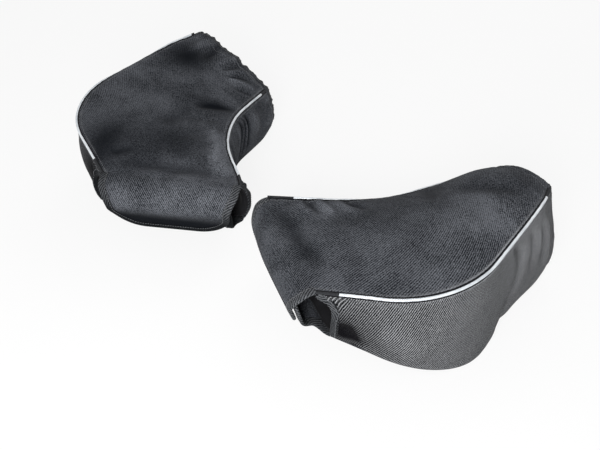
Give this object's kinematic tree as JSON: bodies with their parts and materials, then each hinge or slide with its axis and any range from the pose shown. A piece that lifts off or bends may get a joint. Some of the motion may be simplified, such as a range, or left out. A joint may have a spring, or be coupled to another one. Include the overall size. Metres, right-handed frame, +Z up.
{
  "type": "pair of handlebar mitts",
  "caption": "Padded fabric mitts that wrap over a push bar, each with a hinged front flap over the bar, a closing under flap, piped top seams and an elasticated cuff.",
  "frame": {"origin": "middle of the pair's footprint, on the surface that the mitts stand on", "axes": "+X across the pair towards the mitt for the left hand, -Y towards the machine whose bar they fit, +Z up"},
  "size_m": [0.648, 0.3728, 0.1451],
  "materials": {
    "outer_fabric": "woven, matt, charcoal",
    "foam": "soft wadding",
    "lining": "brushed pile, black",
    "reflective_piping": "silver reflective",
    "binding": "woven tape, black",
    "elastic": "woven elastic",
    "hook_and_loop": "hook and loop, black"
  },
  "bodies": {
    "right_mitt": {"right_top_panel": "outer_fabric", "right_bottom_panel": "outer_fabric", "right_outer_side_wall": "outer_fabric", "right_inner_side_wall": "outer_fabric", "right_top_padding": "foam", "right_outer_wall_padding": "foam", "right_bottom_padding": "foam", "right_inner_wall_padding": "foam", "right_lining": "lining", "right_cuff_hem": "binding", "right_cuff_elastic": "elastic", "right_piping_inner": "reflective_piping", "right_piping_outer": "reflective_piping", "right_outer_bar_binding": "binding", "right_inner_bar_binding": "binding"},
    "right_front_flap": {"right_front_flap": "outer_fabric", "right_front_flap_binding": "binding", "right_loop_tape": "hook_and_loop"},
    "right_under_flap": {"right_under_flap": "outer_fabric", "right_under_flap_binding": "binding", "right_hook_tape": "hook_and_loop"},
    "left_mitt": {"left_top_panel": "outer_fabric", "left_bottom_panel": "outer_fabric", "left_outer_side_wall": "outer_fabric", "left_inner_side_wall": "outer_fabric", "left_top_padding": "foam", "left_outer_wall_padding": "foam", "left_bottom_padding": "foam", "left_inner_wall_padding": "foam", "left_lining": "lining", "left_cuff_hem": "binding", "left_cuff_elastic": "elastic", "left_piping_inner": "reflective_piping", "left_piping_outer": "reflective_piping", "left_outer_bar_binding": "binding", "left_inner_bar_binding": "binding"},
    "left_front_flap": {"left_front_flap": "outer_fabric", "left_front_flap_binding": "binding", "left_loop_tape": "hook_and_loop"},
    "left_under_flap": {"left_under_flap": "outer_fabric", "left_under_flap_binding": "binding", "left_hook_tape": "hook_and_loop"}
  },
  "joints": [
    {"name": "left_mitt_slide", "type": "slide", "parent": "right_mitt", "child": "left_mitt", "axis": [0.8599, -0.5105, 0], "range_m": [0, 0.04]},
    {"name": "right_front_flap_hinge", "type": "hinge", "parent": "right_mitt", "child": "right_front_flap", "pos_m": [-0.01214, -0.09048, 0.09897], "axis": [-0.8599, -0.5105, 0], "range_deg": [0, 120]},
    {"name": "right_under_flap_hinge", "type": "hinge", "parent": "right_mitt", "child": "right_under_flap", "pos_m": [-0.02948, -0.06127, 0.03854], "axis": [0.8599, 0.5105, 0], "range_deg": [0, 30]},
    {"name": "left_front_flap_hinge", "type": "hinge", "parent": "left_mitt", "child": "left_front_flap", "pos_m": [0.01214, -0.09048, 0.09897], "axis": [-0.8599, 0.5105, 0], "range_deg": [0, 120]},
    {"name": "left_under_flap_hinge", "type": "hinge", "parent": "left_mitt", "child": "left_under_flap", "pos_m": [0.02948, -0.06127, 0.03854], "axis": [0.8599, -0.5105, 0], "range_deg": [0, 30]}
  ],
  "couplings": [
    {"joint": "right_under_flap_hinge", "follows": "right_front_flap_hinge", "ratio": 0.25},
    {"joint": "left_under_flap_hinge", "follows": "left_front_flap_hinge", "ratio": 0.25}
  ]
}
